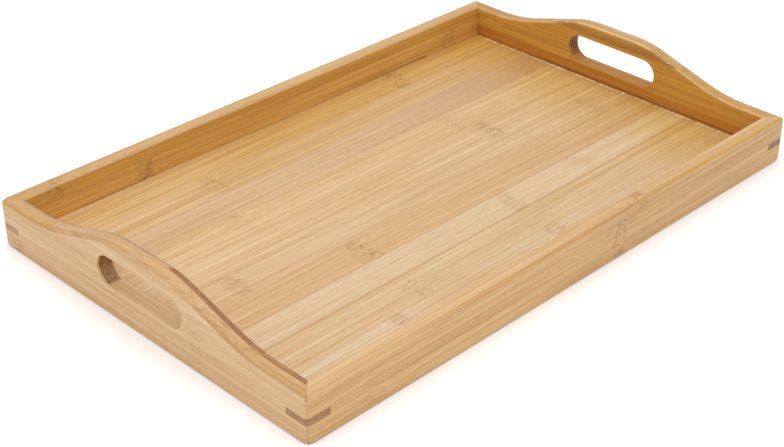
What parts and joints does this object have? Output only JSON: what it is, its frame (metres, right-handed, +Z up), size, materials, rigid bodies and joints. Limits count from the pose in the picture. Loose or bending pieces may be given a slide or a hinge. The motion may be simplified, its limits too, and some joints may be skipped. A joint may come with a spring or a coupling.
{
  "type": "serving tray",
  "caption": "Shallow rectangular bamboo tray with low mitred sides, raised ends with hand slots, a floor of glued strips and dark keys across the corners.",
  "frame": {"origin": "middle of the footprint, on the surface that the tray stands on", "axes": "+X along the tray towards the right-hand handle, +Y across it towards the back side, +Z up"},
  "size_m": [0.5, 0.324, 0.06],
  "materials": {
    "frame_bamboo": "satin clear varnish",
    "floor_bamboo": "satin clear varnish",
    "key_wood": "satin clear varnish"
  },
  "bodies": {
    "root": {"left_end_lower": "frame_bamboo", "left_end_middle": "frame_bamboo", "left_end_upper": "frame_bamboo", "right_end_lower": "frame_bamboo", "right_end_middle": "frame_bamboo", "right_end_upper": "frame_bamboo", "front_side_lower": "frame_bamboo", "front_side_upper": "frame_bamboo", "back_side_lower": "frame_bamboo", "back_side_upper": "frame_bamboo", "corner_key_front_left": "key_wood", "corner_key_front_right": "key_wood", "corner_key_back_right": "key_wood", "corner_key_back_left": "key_wood", "floor_strip_01": "floor_bamboo", "floor_strip_02": "floor_bamboo", "floor_strip_03": "floor_bamboo", "floor_strip_04": "floor_bamboo", "floor_strip_05": "floor_bamboo", "floor_strip_06": "floor_bamboo", "floor_strip_07": "floor_bamboo", "floor_strip_08": "floor_bamboo", "floor_strip_09": "floor_bamboo", "floor_strip_10": "floor_bamboo", "floor_strip_11": "floor_bamboo"}
  },
  "joints": []
}
